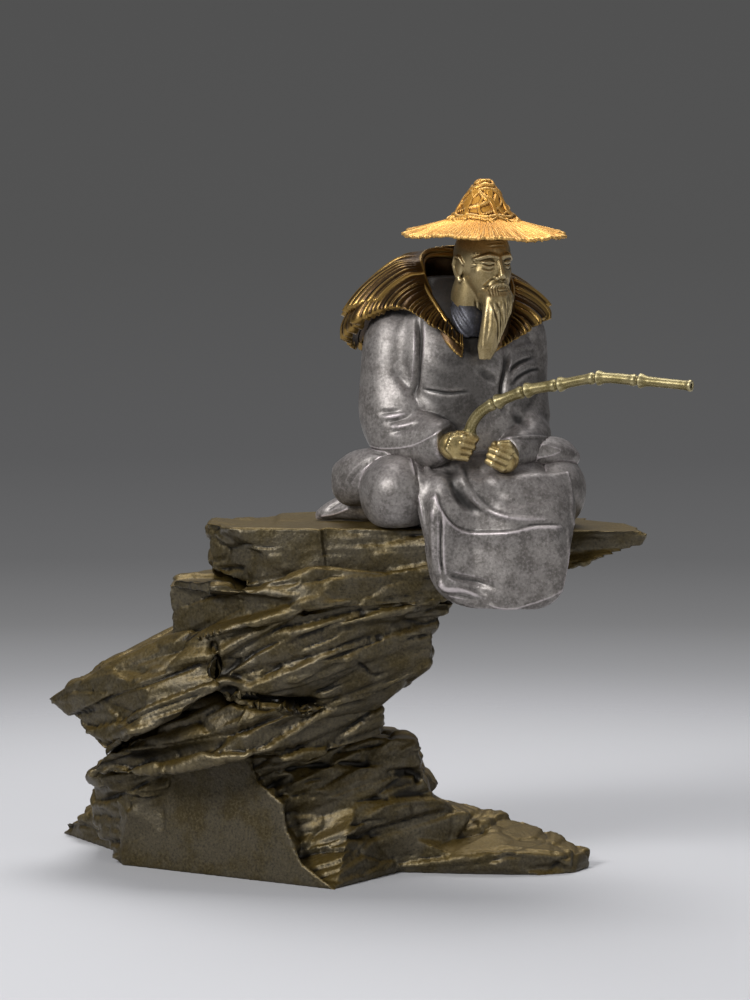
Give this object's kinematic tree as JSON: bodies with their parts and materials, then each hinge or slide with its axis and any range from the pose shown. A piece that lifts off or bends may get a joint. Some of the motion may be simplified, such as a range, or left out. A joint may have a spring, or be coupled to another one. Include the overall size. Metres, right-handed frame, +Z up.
{
  "type": "okimono carving",
  "caption": "Bronze okimono: a seated fisherman in a lift-off straw hat and straw cape holds a draw-out bamboo rod on a layered rock crag.",
  "frame": {"origin": "on the standing face, under the rock, with z = 0 where the rock stands", "axes": "+Z up; the figure looks towards -Y and a little to +X; +X is to the right as seen from the front"},
  "size_m": [0.4015, 0.3011, 0.444],
  "materials": {
    "rock_bronze": "cast, brown-green patina, waxed",
    "robe_bronze": "cast, silvered grey patina, waxed",
    "collar_bronze": "cast, dark grey patina",
    "straw_bronze": "cast and chased, dark brown patina with rubbed gilt",
    "gilt_bronze": "cast and chased, matte gilt",
    "skin_brass": "cast, satin pale brass",
    "hand_brass": "cast, polished brass",
    "bamboo_brass": "cast, satin pale brass",
    "steel": "turned"
  },
  "bodies": {
    "carving": {"rock_foot": "rock_bronze", "rock_neck": "rock_bronze", "rock_left_fin": "rock_bronze", "rock_crag": "rock_bronze", "rock_step_slab": "rock_bronze", "rock_ledge": "rock_bronze", "seam_dowels": "steel", "figure_studs": "steel", "stud_washers": "steel", "stud_nuts": "steel", "robe_lap": "robe_bronze", "right_leg": "robe_bronze", "left_leg": "robe_bronze", "robe_torso": "robe_bronze", "right_sleeve": "robe_bronze", "right_sleeve_lining": "robe_bronze", "left_sleeve": "robe_bronze", "left_sleeve_lining": "robe_bronze", "front_drape": "robe_bronze", "robe_tail": "robe_bronze", "inner_collar": "collar_bronze", "straw_cape": "straw_bronze", "cape_collar": "straw_bronze", "head": "skin_brass", "hat_peg": "steel", "right_hand": "hand_brass", "left_hand": "hand_brass"},
    "hat": {"straw_hat": "gilt_bronze"},
    "rod": {"bamboo_rod": "bamboo_brass"}
  },
  "joints": [
    {"name": "hat_lift", "type": "slide", "parent": "carving", "child": "hat", "axis": [0.0148, -0.0237, 0.9996], "range_m": [0, 0.03]},
    {"name": "rod_draw", "type": "slide", "parent": "carving", "child": "rod", "axis": [0.1271, -0.0676, 0.9896], "range_m": [0, 0.014]}
  ]
}
